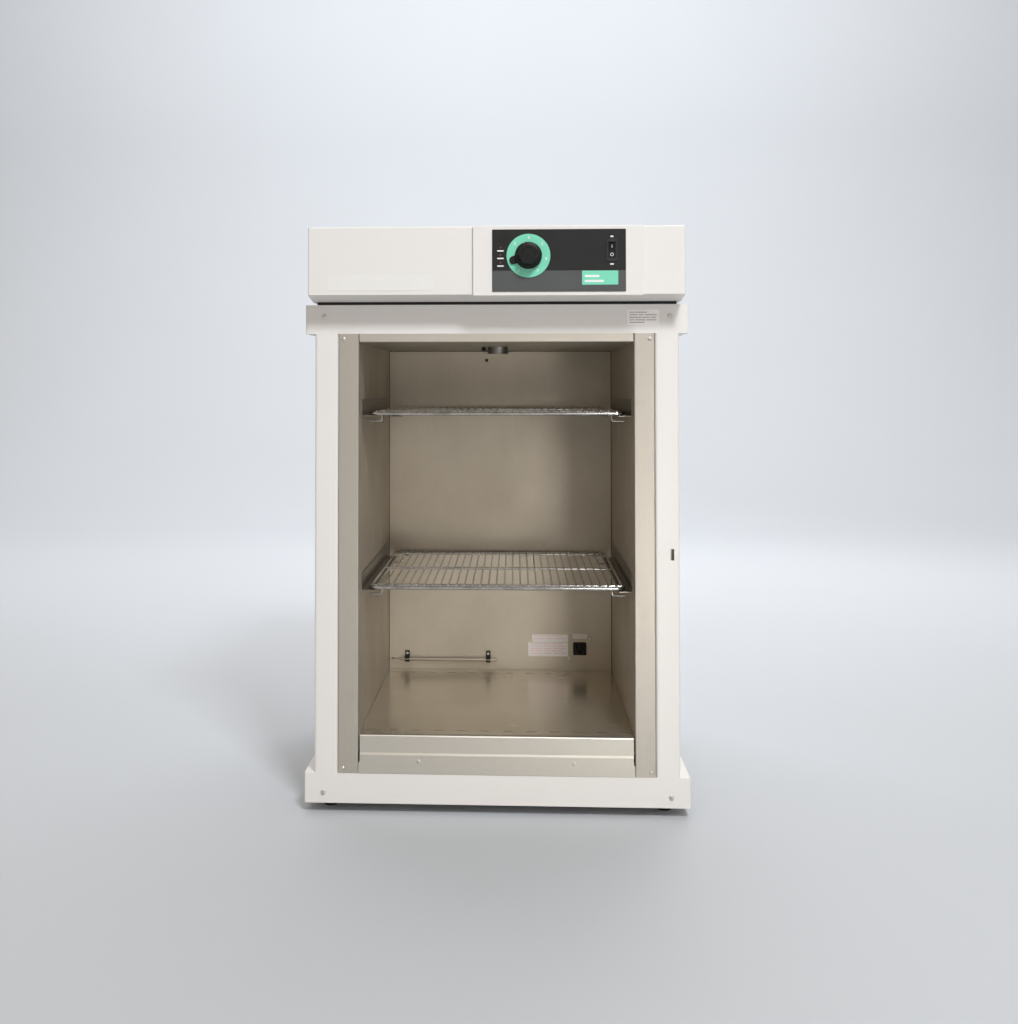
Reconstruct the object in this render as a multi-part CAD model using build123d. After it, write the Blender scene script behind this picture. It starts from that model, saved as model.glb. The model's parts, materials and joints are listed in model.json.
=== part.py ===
from build123d import *
import os
from math import cos, radians, sin

# Gravity-convection laboratory incubator: a bent-sheet cabinet on four feet, a stainless
# chamber with two wire shelves, and a control console that overhangs the front.
# Millimetres. X right, Y towards the back, Z up, origin under the middle of the whole object.

# ---------------------------------------------------------------- driving dimensions
chamber_width = 457.0
chamber_depth = 500.0
chamber_top = 780.0
chamber_floor = 127.0

body_half = 302.0          # outer face of each side panel
band_half = 318.0          # base and top band stand out past the side panels
body_depth = 575.0
foot_height = 16.0
base_top = 65.0
body_top = 794.0
band_top = 842.0

console_half = 306.0
console_overhang = 52.0    # front of the console ahead of the cabinet front
console_bottom = 847.0
console_lip = 855.0        # bottom of the console's front face
console_top = 966.0
console_rear = 565.0       # console back, behind the cabinet front

module_proud = 6.0
overlay_thick = 1.0
dial_thick = 1.6
lever_thick = 2.2
knob_height = 20.0
running_gap = 0.3          # between pieces that slide or turn over each other

painted_sheet = 1.2
liner_sheet = 1.0
jamb_width = 33.5
return_depth = 12.0        # how far the jamb and header flanges turn into the chamber
corner_seam = 1.3          # open joint round the edge of the chamber's back sheet

shelf_pitch = 13.5
shelf_rods = 31
deck_rod = 3.0
frame_rod = 6.0
cross_rod = 4.4
hook_rod = 3.4
shelf_depth = 455.0
shelf_front = 40.0         # front rod behind the cabinet front
upper_shelf_top = 665.5
lower_shelf_top = 371.5

slot_pitch = 49.0          # bracket slots up each chamber wall
slot_step = 13.0           # between the two slots of a pair
slot_pairs = 12
slot_columns = (108.0, 355.0)

vent_outer = 37.0
vent_inner = 33.0
vent_depth = 250.0         # vent tube behind the cabinet front

# ---------------------------------------------------------------- places worked out
wall = chamber_width / 2
jamb_outer = wall + jamb_width
stack = module_proud + overlay_thick + dial_thick + lever_thick + 2 * running_gap + knob_height
front = (console_overhang + stack - body_depth) / 2     # Y of the cabinet front
back = front + chamber_depth                            # Y of the chamber's back wall
sill_face = front - 0.6
module_face = front - console_overhang - module_proud
overlay_face = module_face - overlay_thick
dial_x, dial_z = 53.8, 916.8
rocker_x, rocker_z = 187.9, 925.3
vent_y = front + vent_depth
rear_screw_levels = (90, 310, 550, 770)
cover_screw_places = (-280, 0, 280)


def block(x0, x1, y0, y1, z0, z1):
    """Box between two corners."""
    return Pos(x0, y0, z0) * Box(x1 - x0, y1 - y0, z1 - z0, align=(Align.MIN, Align.MIN, Align.MIN))


def folded(points, thickness, bend, plane, length, side):
    """Sheet folded along an open outline on a plane, then run out along the plane's normal."""
    if len(points) > 2:
        outline = FilletPolyline(*points, radius=bend)
    else:
        outline = Line(*points)
    edge = offset(outline, amount=thickness, side=side)
    return extrude(plane * make_face(edge), amount=length)


def rod(start, end, diameter):
    """Straight round wire between two points."""
    line = Line(start, end)
    profile = Plane(origin=start, z_dir=line % 0) * Circle(diameter / 2)
    return sweep(profile, path=line)


def wire(points, diameter, bend):
    """Round wire bent along its corners."""
    path = FilletPolyline(*points, radius=bend)
    profile = Plane(origin=path @ 0, z_dir=path % 0) * Circle(diameter / 2)
    return sweep(profile, path=path)


def along_y(x, y, z, radius, length):
    """Round bar whose front end is at y and which runs back by length."""
    return Pos(x, y, z) * Rot(-90, 0, 0) * Cylinder(radius, length, align=(Align.CENTER, Align.CENTER, Align.MIN))


def screw_hole(x, y, z, radius):
    """Hole through sheet for the shank of a pan_screw with this head radius."""
    return along_y(x, y - 4, z, radius * 0.5 + 0.1, 18)


def rear_hole(x, y, z):
    """Hole through sheet at the back for a casing screw."""
    return along_y(x, y - 6, z, 2.1, 12)


def pan_screw(x, y, z, radius, height, length):
    """Domed screw head standing forward of y, with its shank behind."""
    head = Rot(90, 0, 0) * Cylinder(radius, height, align=(Align.CENTER, Align.CENTER, Align.MIN))
    head = fillet(head.edges().group_by(Axis.Y)[0], height * 0.6)
    shank = Rot(-90, 0, 0) * Cylinder(radius * 0.5, length, align=(Align.CENTER, Align.CENTER, Align.MIN))
    return Pos(x, y, z) * (head + shank)


# ---------------------------------------------------------------- cabinet
def side_panel(side):
    """Side sheet whose front edge folds into the white post beside the opening."""
    fold = [
        (jamb_outer + 0.4, front + 14),
        (jamb_outer + 0.4, front),
        (body_half, front),
        (body_half, front + body_depth),
        (jamb_outer + 0.4, front + body_depth),
    ]
    plane = Plane.XY.offset(base_top)
    panel = folded(fold, painted_sheet, 5.0, plane, body_top - base_top, Side.LEFT)
    panel -= [rear_hole(286, front + body_depth, z) for z in rear_screw_levels]
    if side < 0:
        return mirror(panel, about=Plane.YZ)
    slot = block(287.2, 292.8, front - 1, front + 3, 420, 439)
    return panel - slot


def rear_panel():
    """Flat back sheet behind the rear flanges, with a raised stiffening field."""
    y = front + body_depth - painted_sheet - 0.1
    sheet = block(-294, 294, y - painted_sheet, y, base_top + 1, body_top - 1)
    field = block(-240, 240, y, y + 0.9, 140, 720)
    field = fillet(field.edges().filter_by(Axis.Y), 20)
    holes = [rear_hole(x, y, z) for x in (-286, 286) for z in rear_screw_levels]
    return sheet + field - holes


def band_frame(z0, z1, open_top):
    """Folded pan that rings the cabinet: the plinth below and the band above."""
    y1 = front + body_depth
    outer = block(-band_half, band_half, front, y1, z0, z1)
    outer = fillet(outer.edges().filter_by(Axis.Z), 2.5)
    sheet = 1.5
    inner = block(-band_half + sheet, band_half - sheet, front + sheet, y1 - sheet, z0 + sheet, z1 - sheet)
    mouth_low = z1 - 2 * sheet if open_top else z0 - sheet
    mouth = block(-255, 255, front + 20, y1 - 20, mouth_low, mouth_low + 3 * sheet)
    return outer - inner - mouth


def base_frame():
    frame = band_frame(foot_height, base_top, True)
    bolt_holes = [Pos(x, y, foot_height) * Cylinder(2.7, 8) for x, y in foot_places]
    return frame - bolt_holes - [screw_hole(x, front, 33, 4.2) for x in (-287, 287)]


def top_frame():
    frame = band_frame(body_top, band_top, False)
    vent_hole = Pos(0, vent_y, band_top) * Cylinder(vent_outer / 2 + 1, 8)
    tube_hole = Pos(-220, back + 3, band_top) * Cylinder(4, 8)
    return frame - vent_hole - tube_hole - [screw_hole(x, front, 823, 4.2) for x in (-287, 287)]


def foot(x, y):
    profile = Polyline((4.2, 0), (12, 0), (15, foot_height), (2.6, foot_height), (2.6, 5), (4.2, 5), close=True)
    body = revolve(Plane.XZ * make_face(profile), Axis.Z)
    body = fillet(body.edges().group_by(Axis.Z)[0].sort_by(SortBy.LENGTH)[-1], 1.5)
    return Pos(x, y, 0) * body


def foot_bolt(x, y):
    head = Pos(x, y, 2) * Cylinder(3.9, 3, align=(Align.CENTER, Align.CENTER, Align.MIN))
    shank = Pos(x, y, 5) * Cylinder(2.5, 17, align=(Align.CENTER, Align.CENTER, Align.MIN))
    return head + shank


foot_places = [(x, y) for x in (-280, 280) for y in (front + 47, front + body_depth - 45)]


# ---------------------------------------------------------------- chamber
def jamb(side):
    """Stainless strip beside the opening, folded back at both edges."""
    fold = [
        (jamb_outer, front + 10),
        (jamb_outer, front),
        (wall, front),
        (wall, front + return_depth),
    ]
    piece = folded(fold, liner_sheet, 1.6, Plane.XY.offset(base_top), body_top - base_top, Side.RIGHT)
    piece -= [screw_hole(254, front, z, 3.3) for z in (74, 785)]
    return piece if side > 0 else mirror(piece, about=Plane.YZ)


def front_header():
    fold = [
        (front, body_top),
        (front, chamber_top),
        (front + return_depth, chamber_top),
    ]
    section = Plane(origin=(-wall + 1.2, 0, 0), x_dir=(0, 1, 0), z_dir=(1, 0, 0))
    return folded(fold, liner_sheet, 1.6, section, chamber_width - 2.4, Side.LEFT)


def front_sill():
    """Sill with a rolled top edge and a joggle; it narrows above its fixing screws."""
    fold = [
        (front + 9, chamber_floor + 2),
        (front + 0.8, chamber_floor + 2),
        (front + 0.8, 99.5),
        (sill_face, 96.0),
        (sill_face, base_top + 0.4),
    ]
    outline = FilletPolyline(*fold, radius=3.0)
    edge = offset(outline, amount=liner_sheet, side=Side.LEFT)
    section = Plane(origin=(-wall + 0.3, 0, 0), x_dir=(0, 1, 0), z_dir=(1, 0, 0))
    sill = extrude(section * make_face(edge), amount=chamber_width - 0.6)
    for side in (-1, 1):
        low, high = sorted((side * (wall - 2.6), side * (wall + 2)))
        sill -= block(low, high, front - 4, front + 14, 84, chamber_floor + 4)
        sill -= screw_hole(side * 128, front, 86, 3.3)
    return sill


def wall_slots(x):
    """Pairs of upright slots that the shelf brackets hook into."""
    places = []
    for column in slot_columns:
        for pair in range(slot_pairs):
            for step in (0, slot_step):
                places.append((front + column, lower_shelf_top - 5 + step + (pair - 4) * slot_pitch))
    section = Plane(origin=(x, 0, 0), x_dir=(0, 1, 0), z_dir=(1, 0, 0))
    cuts = section * Sketch([Pos(y, z) * Rectangle(3.2, 8.5) for y, z in places])
    return extrude(cuts, amount=6, both=True)


def liner_side(side):
    x0, x1 = sorted((side * wall, side * (wall + liner_sheet)))
    sheet = block(x0, x1, front + return_depth + 0.3, back + liner_sheet, 100, chamber_top)
    return sheet - wall_slots(side * wall)


def liner_back():
    sheet = block(-wall + corner_seam, wall - corner_seam, back, back + liner_sheet, 100, chamber_top - corner_seam)
    outlet_hole = block(150.7, 175.3, back - 1, back + 2, 159, 183)
    tube_hole = along_y(-220, back - 1, 148, 2.0, 4)
    drain_hole = along_y(-27, back - 1, 761, 3.5, 4)
    heater_holes = [along_y(x, back - 1, 113, 5, 4) for x in (-60, 60)]
    screw_holes = [screw_hole(184, back, 190, 3.3), screw_hole(142, back, 151, 3.3)]
    screw_holes += [screw_hole(x, back, bulb_z + 11.5, 2.9) for x in clip_places]
    return sheet - outlet_hole - tube_hole - drain_hole - heater_holes - screw_holes


def liner_ceiling():
    y0 = front + return_depth + 0.3
    sheet = block(-wall - 1, wall + 1, y0, back, chamber_top, chamber_top + 1)
    return sheet - Pos(0, vent_y, chamber_top) * Cylinder(vent_outer / 2 + 0.4, 8)


def liner_floor():
    """Floor pan under the heater, turned up at the front."""
    y0 = front + return_depth + 0.3
    sheet = block(-wall - 1, wall + 1, y0, back + 1, 99, 100)
    return sheet + block(-wall + 1, wall - 1, y0, y0 + 1, 99, 120)


def floor_diffuser():
    """Removable slotted plate that the warm air rises through."""
    fold = [
        (front + 14, 101),
        (front + 14, chamber_floor),
        (back - 1, chamber_floor),
        (back - 1, 122),
    ]
    section = Plane(origin=(-wall + 0.6, 0, 0), x_dir=(0, 1, 0), z_dir=(1, 0, 0))
    plate = folded(fold, liner_sheet, 1.5, section, chamber_width - 1.2, Side.RIGHT)
    slots = []
    for y in (front + 39, back - 34):
        for index in range(12):
            x = (index - 5.5) * 39
            slots.append(Pos(x, y, chamber_floor) * extrude(SlotOverall(15.7, 3), amount=4, both=True))
    return plate - slots


def insulation_side(side):
    x0, x1 = sorted((side * (wall + 5.5), side * (body_half - 2)))
    return block(x0, x1, front + 16, back, base_top + 2, chamber_top)


def insulation_back():
    slab = block(-235, 235, back + 7, front + body_depth - 4, base_top + 2, body_top - 1)
    outlet_pocket = block(136, 190, back, back + 48, 145, 196)
    leads = [along_y(x, back, 113, 5, 30) for x in (-60, 60)]
    return slab - outlet_pocket - leads


def insulation_top():
    slab = block(-253, 253, front + 22, back + 50, body_top, band_top - 3)
    slab -= Pos(-220, back + 3, 810) * Cylinder(4, 100)
    return slab - Pos(0, vent_y, 810) * Cylinder(vent_outer / 2 + 0.5, 100)


def insulation_bottom():
    return block(-wall, wall, front + 22, back, foot_height + 3, 97)


# ---------------------------------------------------------------- shelves and brackets
frame_z = deck_rod + frame_rod / 2 - 0.5       # frame wire centre below the shelf top
ledge_drop = frame_z + frame_rod / 2 + running_gap
shelf_half = 214.0
hook_x = 195.0
hook_drop = 18.0                               # hook's foot below the shelf top
ledge_inner = 205.0
bracket_height = 28.0
bracket_length = 430.0


def wire_shelf(top):
    """Welded deck: thin rods lie on a heavier frame, with wire hooks that stop it tipping."""
    y0 = front + shelf_front
    y1 = y0 + shelf_depth
    z = top - frame_z
    corner = 12.0
    loop = Polyline((-shelf_half, y0), (shelf_half, y0), (shelf_half, y1), (-shelf_half, y1), close=True)
    loop = fillet(loop.vertices(), corner)
    start = Plane(origin=(0, y0, z), z_dir=(1, 0, 0))
    frame = sweep(start * Circle(frame_rod / 2), path=Pos(0, 0, z) * loop)
    shelf = frame
    cross_z = z + (frame_rod - cross_rod) / 2
    for y in (y0 + 24, (y0 + y1) / 2, y1 - 24):
        shelf += rod((-shelf_half, y, cross_z), (shelf_half, y, cross_z), cross_rod)
    deck_z = top - deck_rod / 2
    for index in range(shelf_rods):
        x = (index - (shelf_rods - 1) / 2) * shelf_pitch
        shelf += rod((x, y0 - 3.5, deck_z), (x, y1 + 3.5, deck_z), deck_rod)
    for side in (-1, 1):
        for y in (y0 + 10, y1 - 60):
            points = [
                (side * (hook_x - 13), y, z + 2),
                (side * hook_x, y, z + 2),
                (side * hook_x, y, top - hook_drop),
                (side * (hook_x + 21), y, top - hook_drop),
            ]
            shelf += wire(points, hook_rod, 3.0)
    return shelf


def shelf_bracket(side, top):
    """Runner with a ledge for the shelf, hung from the wall slots by hooked tabs."""
    ledge = top - ledge_drop
    plate_x = wall - painted_sheet - 0.5
    fold = [
        (ledge_inner, ledge),
        (plate_x, ledge),
        (plate_x, ledge + bracket_height),
    ]
    y1 = front + 34 + bracket_length
    section = Plane(origin=(0, y1, 0), x_dir=(1, 0, 0), z_dir=(0, -1, 0))
    runner = folded(fold, painted_sheet, 2.0, section, bracket_length, Side.RIGHT)
    slot_z = top - 5
    for column in slot_columns:
        for step in (0, slot_step):
            z = slot_z + step
            y = front + column
            tab = block(plate_x, wall + 3.6, y - 1, y + 1, z - 3, z + 2)
            tab += block(wall + 1.4, wall + 3.6, y - 1, y + 1, z - 6, z + 2)
            runner += tab
    return runner if side > 0 else mirror(runner, about=Plane.YZ)


# ---------------------------------------------------------------- heater, sensor, outlet, vent
def heater_element():
    """Sheathed element laid in a W under the diffuser, both ends out through the back."""
    z = 113.0
    y_front, y_back = front + 60, back - 60
    points = [(-60, back + 20, z), (-60, y_front + 60, z), (-120, y_front + 60, z), (-120, y_back, z)]
    points += [(-180, y_back, z), (-180, y_front, z), (180, y_front, z), (180, y_back, z)]
    points += [(120, y_back, z), (120, y_front + 60, z), (60, y_front + 60, z), (60, back + 20, z)]
    return wire(points, 8.0, 24.0)


def heater_supports():
    """Three notched strips that hold the element off the floor pan."""
    strips = []
    for y in (front + 165, front + 285, front + 400):
        strip = block(-205, 205, y - 1, y + 1, 100, 121)
        for x in (-180, -120, -60, 60, 120, 180):
            strip -= block(x - 4.2, x + 4.2, y - 2, y + 2, 108.7, 122)
        strips.append(strip)
    return Compound(children=strips)


bulb_y = back - 7.0
bulb_z = 148.0
clip_places = (-190, -24)


def sensor_bulb():
    """Liquid-filled bulb along the back wall, necked down to its capillary."""
    bulb = rod((-206, bulb_y, bulb_z), (-7, bulb_y, bulb_z), 6.0)
    bulb = fillet(bulb.edges().filter_by(GeomType.CIRCLE), 2.0)
    return bulb


def capillary_tube():
    """Fine tube from the bulb up behind the liner to the thermostat."""
    points = [
        (-206, bulb_y, bulb_z),
        (-220, bulb_y, bulb_z),
        (-220, back + 3, bulb_z),
        (-220, back + 3, 862),
        (-220, front + 30, 862),
        (dial_x, front + 30, 862),
        (dial_x, front + 30, dial_z),
        (dial_x, front - 6, dial_z),
    ]
    return wire(points, 1.8, 4.0)


def sensor_clip(x):
    """Moulded clip that grips the bulb and is screwed to the back wall."""
    body = block(x - 4.6, x + 4.6, bulb_y - 5, back, bulb_z - 5, bulb_z + 17)
    body = fillet(body.edges().filter_by(Axis.X), 1.8) - screw_hole(x, back - 5, bulb_z + 11.5, 2.9)
    grip = rod((x - 6, bulb_y, bulb_z), (x + 6, bulb_y, bulb_z), 6.1)
    mouth = block(x - 6, x + 6, bulb_y - 6, bulb_y, bulb_z - 1.6, bulb_z + 1.6)
    step = block(x - 6, x + 6, bulb_y - 6, back - 5, bulb_z + 7, bulb_z + 18)
    return body - grip - mouth - step


def outlet_receptacle():
    """Snap-in three-hole outlet for an instrument used inside the chamber."""
    x, z = 163.0, 171.0
    flange = block(x - 13.5, x + 13.5, back - 2.6, back, z - 13, z + 13)
    flange = fillet(flange.edges().filter_by(Axis.Y), 2.5)
    flange = chamfer(flange.faces().sort_by(Axis.Y)[0].edges(), 0.8)
    body = block(x - 12, x + 12, back, back + 34, z - 11.7, z + 11.7)
    for side in (-1, 1):
        blade = block(x + side * 6.3 - 1, x + side * 6.3 + 1, back - 4, back + 18, z - 1, z + 7)
        body -= blade
        flange -= blade
    ground = along_y(x, back - 4, z - 6.5, 2.6, 22)
    return flange + body - ground


def vent_tube():
    """Tube from the chamber ceiling up through the console roof."""
    z0, z1 = chamber_top - 13, console_top + 2.5
    outer = Pos(0, vent_y, z0) * Cylinder(vent_outer / 2, z1 - z0, align=(Align.CENTER, Align.CENTER, Align.MIN))
    bore = Pos(0, vent_y, z0 - 1) * Cylinder(vent_inner / 2, z1 - z0 + 2, align=(Align.CENTER, Align.CENTER, Align.MIN))
    return outer - bore


def vent_ports(radius, z, height, turn):
    """Two quarter-round openings, used for the fixed seat and the turning cap."""
    ports = []
    for start in (turn, turn + 180):
        ring = Circle(radius) - Circle(5)
        wedge = make_face(Polyline((0, 0), (30, 0), (30, 30), (0, 30), close=True))
        ports.append(Pos(0, vent_y, z) * Rot(0, 0, start) * extrude(ring & wedge, amount=height, both=True))
    return ports


def vent_seat():
    """Pierced disc fixed in the top of the tube."""
    z = console_top - 0.4
    disc = Pos(0, vent_y, z) * Cylinder(vent_inner / 2 - 0.05, 2.4, align=(Align.CENTER, Align.CENTER, Align.MIN))
    stem = Pos(0, vent_y, z + 2.4) * Cylinder(2.0, 8.4, align=(Align.CENTER, Align.CENTER, Align.MIN))
    return disc - vent_ports(14.5, z, 6, 0) + stem


def vent_cap():
    """Turning cap: its two openings line up with the seat's to let moist air out."""
    z = console_top + 2.8
    disc = Pos(0, vent_y, z) * Cylinder(21, 5, align=(Align.CENTER, Align.CENTER, Align.MIN))
    disc = fillet(disc.edges().group_by(Axis.Z)[-1], 1.5)
    grip = block(-18, 18, vent_y - 2, vent_y + 2, z + 5, z + 9)
    grip = fillet(grip.edges().group_by(Axis.Z)[-1], 1.2)
    cap = disc + grip - vent_ports(14.5, z, 6, 0)
    return cap - Pos(0, vent_y, z) * Cylinder(2.06, 17)


# ---------------------------------------------------------------- console
def console_section(inset):
    """Side outline of the console, with its underside rising to the front."""
    y0 = front - console_overhang + inset
    slope = (console_lip - console_bottom) / console_overhang
    points = [
        (y0, console_top - inset),
        (y0, console_lip + inset + slope * -inset),
        (front, console_bottom + inset),
        (front + console_rear - inset, console_bottom + inset),
        (front + console_rear - inset, console_top - inset),
    ]
    return make_face(Polyline(*points, close=True))


def console_housing():
    """Folded cover over the electrics: roof, front, ends and the sloping soffit."""
    plane = Plane(origin=(-console_half, 0, 0), x_dir=(0, 1, 0), z_dir=(1, 0, 0))
    shell = extrude(plane * console_section(0), amount=2 * console_half)
    shell = fillet(shell.edges().filter_by(Axis.Z).group_by(Axis.Y)[0], 3.0)
    roof_edge = shell.edges().group_by(Axis.Z)[-1].group_by(Axis.Y)[0]
    shell = fillet(roof_edge, 2.5)
    plane_in = Plane(origin=(-console_half + painted_sheet, 0, 0), x_dir=(0, 1, 0), z_dir=(1, 0, 0))
    shell -= extrude(plane_in * console_section(painted_sheet), amount=2 * (console_half - painted_sheet))
    shell -= block(-280, 280, front + 22, front + console_rear - 22, console_bottom - 2, console_bottom + 4)
    shell -= block(-29, 232, front - console_overhang - 2, front - console_overhang + 4, 862, 958)
    rear_y = front + console_rear
    shell -= block(-286, 286, rear_y - 3, rear_y + 2, console_bottom + 12, console_top - 16)
    shell -= [rear_hole(x, rear_y, console_top - 10) for x in cover_screw_places]
    return shell - Pos(0, vent_y, console_top) * Cylinder(vent_outer / 2 + 0.3, 8)


def console_rear_cover():
    """Screwed-on cover with cooling louvres, the mains inlet and the fuse."""
    y = front + console_rear
    cover = block(-298, 298, y, y + painted_sheet, console_bottom + 6, console_top - 4)
    cover = fillet(cover.edges().filter_by(Axis.Y), 4)
    cuts = [block(-220.2, -193.8, y - 2, y + 4, 889.8, 910.2), along_y(-168, y - 2, 900, 6.1, 8)]
    for index in range(14):
        x = -20 + index * 18
        cuts.append(block(x - 2, x + 2, y - 2, y + 4, 890, 930))
    cuts += [rear_hole(x, y, console_top - 10) for x in cover_screw_places]
    return cover - cuts


def console_gasket():
    """Foam strip between the console and the top band."""
    outer = block(-298.5, 298.5, front + 2, front + console_rear - 4, band_top, console_bottom)
    inner = block(-284, 284, front + 16, front + console_rear - 18, band_top - 1, console_bottom + 1)
    return outer - inner


def control_module():
    """Shallow folded box that carries the controls, standing proud of the console."""
    y0, y1 = module_face, front - console_overhang
    box = block(-36, 239, y0, y1, console_lip - 2.5, console_top - 0.1)
    box = fillet(box.edges().filter_by(Axis.Y), 1.5)
    box = fillet(box.faces().sort_by(Axis.Y)[0].edges(), 1.2)
    box -= block(-34.8, 237.8, y0 + 1.2, y1 + 1, console_lip - 1.3, console_top - 1.3)
    return box - control_holes(y0 - 1, 4)


def control_holes(y, length):
    """Openings through the front for the shaft, the lamps and the switch."""
    holes = [along_y(dial_x, y, dial_z, 5.0, length)]
    holes += [along_y(8.7, y, z, 2.0, length) for z in lamp_levels]
    holes.append(block(rocker_x - 7.4, rocker_x + 7.4, y, y + length, rocker_z - 15.6, rocker_z + 15.6))
    return holes


lamp_levels = (905.5, 917.8, 930.0)


def control_overlay():
    plate = block(-4.8, 210.3, overlay_face, module_face, 858.7, 959.5)
    plate = fillet(plate.edges().filter_by(Axis.Y), 1.2)
    return plate - control_holes(overlay_face - 1, 4)


def label(x0, x1, z0, z1, y, thickness):
    plate = block(x0, x1, y - thickness, y, z0, z1)
    return fillet(plate.edges().filter_by(Axis.Y), 1.0)


def back_wall_labels():
    places = [(66, 139, 184, 199), (58, 139, 155, 183), (149, 178, 191.5, 200.5)]
    return Compound(children=[label(x0, x1, z0, z1, back, 0.3) for x0, x1, z0, z1 in places])


def temperature_dial():
    disc = along_y(dial_x, overlay_face - dial_thick, dial_z, 35.3, dial_thick)
    disc = fillet(disc.edges().group_by(Axis.Y)[0], 0.7)
    return disc - along_y(dial_x, overlay_face - 4, dial_z, 5.0, 8)


lever_face = overlay_face - dial_thick - running_gap - lever_thick
knob_back = lever_face - running_gap


def knob_lock_lever():
    """Thin collar under the knob with a thumb tab; turning it holds the setting."""
    collar = Circle(17) - Circle(4.2)
    arm = Rot(0, 0, 197) * Pos(22, 0) * RectangleRounded(19, 13, 5.5)
    sketch = collar + arm - Circle(4.2)
    plane = Plane(origin=(dial_x, lever_face, dial_z), x_dir=(1, 0, 0), z_dir=(0, -1, 0))
    return extrude(plane * sketch, amount=-lever_thick)


def temperature_knob():
    """Skirted control knob with a fluted barrel and a slightly dished top."""
    profile = [
        (0, 0),
        (21.8, 0),
        (21.8, 3),
        (17.2, 5.2),
        (15.4, knob_height - 1.2),
        (14.2, knob_height),
        (11.5, knob_height),
        (10.5, knob_height - 0.8),
        (0, knob_height - 0.8),
    ]
    solid = revolve(Plane.XZ * make_face(Polyline(*profile, close=True)), Axis.Z)
    for index in range(12):
        angle = radians(index * 30 + 6)
        flute = Pos(18.7 * cos(angle), 18.7 * sin(angle), 5.6) * Cylinder(3.0, 20, align=(Align.CENTER, Align.CENTER, Align.MIN))
        solid -= flute
    solid -= Pos(0, 0, -1) * Cylinder(3.0, 13, align=(Align.CENTER, Align.CENTER, Align.MIN))
    return Pos(dial_x, knob_back, dial_z) * Rot(90, 0, 0) * solid


def thermostat_shaft():
    end = knob_back - 12
    return along_y(dial_x, end, dial_z, 2.97, front - console_overhang + 16 - end)


def thermostat_body():
    y = front - console_overhang + 1
    case = block(dial_x - 27, dial_x + 27, y + 1, y + 34, dial_z - 24, dial_z + 24)
    case = fillet(case.edges().filter_by(Axis.Y), 5)
    case += along_y(dial_x, y - 4, dial_z, 4.8, 6)
    return case - along_y(dial_x, y - 6, dial_z, 3.03, 22)


def rocker_bezel():
    """Switch frame with a pocket for the rocker, and its body behind the panel."""
    flange = block(rocker_x - 9.1, rocker_x + 9.1, overlay_face - 1.8, overlay_face, rocker_z - 18.7, rocker_z + 18.7)
    flange = fillet(flange.edges().filter_by(Axis.Y), 1.5)
    flange = chamfer(flange.faces().sort_by(Axis.Y)[0].edges(), 0.8)
    body = block(rocker_x - 7.2, rocker_x + 7.2, overlay_face, overlay_face + 24, rocker_z - 15.4, rocker_z + 15.4)
    pocket = block(rocker_x - 5.9, rocker_x + 5.9, overlay_face - 4, overlay_face + 12, rocker_z - 13.3, rocker_z + 13.3)
    return flange + body - pocket


rocker_tilt = 9.0
rocker_pivot_y = overlay_face + 2.6


def rocker_button():
    """Two shallow faces meeting at a ridge; a tilt either way is on or off."""
    profile = [
        (-5.6, 12.2),
        (-3.2, 0),
        (-5.6, -12.2),
        (3.0, -11.2),
        (6.5, -4),
        (6.5, 4),
        (3.0, 11.2),
    ]
    section = Plane(origin=(rocker_x - 5.6, 0, 0), x_dir=(0, 1, 0), z_dir=(1, 0, 0))
    button = extrude(section * make_face(Polyline(*profile, close=True)), amount=11.2)
    return Pos(0, rocker_pivot_y, rocker_z) * Rot(rocker_tilt, 0, 0) * button


def pilot_lamps():
    lamps = []
    for z in lamp_levels:
        lens = along_y(8.7, overlay_face - 1.2, z, 1.95, 10)
        lamps.append(fillet(lens.edges().group_by(Axis.Y)[0], 0.9))
    return Compound(children=lamps)


def power_inlet():
    """Three-pin appliance inlet, flanged to the rear cover."""
    x, z = -207.0, 900.0
    y = front + console_rear + painted_sheet
    flange = block(x - 16, x + 16, y, y + 2.5, z - 13, z + 13)
    flange = fillet(flange.edges().filter_by(Axis.Y), 3)
    body = block(x - 13, x + 13, y - 22, y, z - 10, z + 10)
    shape = flange + body - block(x - 11, x + 11, y - 14, y + 4, z - 7.5, z + 7.5)
    for pin_x, pin_z in ((-7, 2.5), (7, 2.5), (0, -2.5)):
        shape += block(x + pin_x - 1, x + pin_x + 1, y - 14.5, y - 1, z + pin_z - 2, z + pin_z + 2)
    return shape


def fuse_holder():
    y = front + console_rear + painted_sheet
    cap = along_y(-168, y, 900, 8, 7)
    cap = fillet(cap.edges().group_by(Axis.Y)[-1], 1.5)
    slot = block(-174, -162, y + 5.8, y + 8, 899.2, 900.8)
    return cap - slot + along_y(-168, y - 22, 900, 5.8, 22)


def terminal_block():
    """Strip that joins the mains, switch, thermostat and heater wiring."""
    base = block(-120, -40, front + 380, front + 404, band_top, band_top + 8)
    for index in range(7):
        x = -120 + index * 80 / 6
        base += block(x - 0.9 + (0.9 if index == 0 else 0), x + (0.9 if index < 6 else 0), front + 380, front + 404, band_top + 8, band_top + 18)
    return base


def strike_box():
    """Latch keeper behind the slot in the right post."""
    box = block(283, 297, front + painted_sheet, front + 14, 412, 447)
    return box - block(286.5, 293.5, front, front + 11, 419, 440)


def casing_screws():
    """Screws of the two front bands, the rear panel and the console's rear cover."""
    screws = [pan_screw(x, front, z, 4.2, 2.4, 8) for x in (-287, 287) for z in (33, 823)]
    behind = [(x, front + body_depth, z) for x in (-286, 286) for z in rear_screw_levels]
    behind += [(x, front + console_rear + painted_sheet, console_top - 10) for x in cover_screw_places]
    screws += [Pos(x, y, z) * Rot(0, 0, 180) * pan_screw(0, 0, 0, 4.0, 2.2, 6) for x, y, z in behind]
    return Compound(children=screws)


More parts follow.
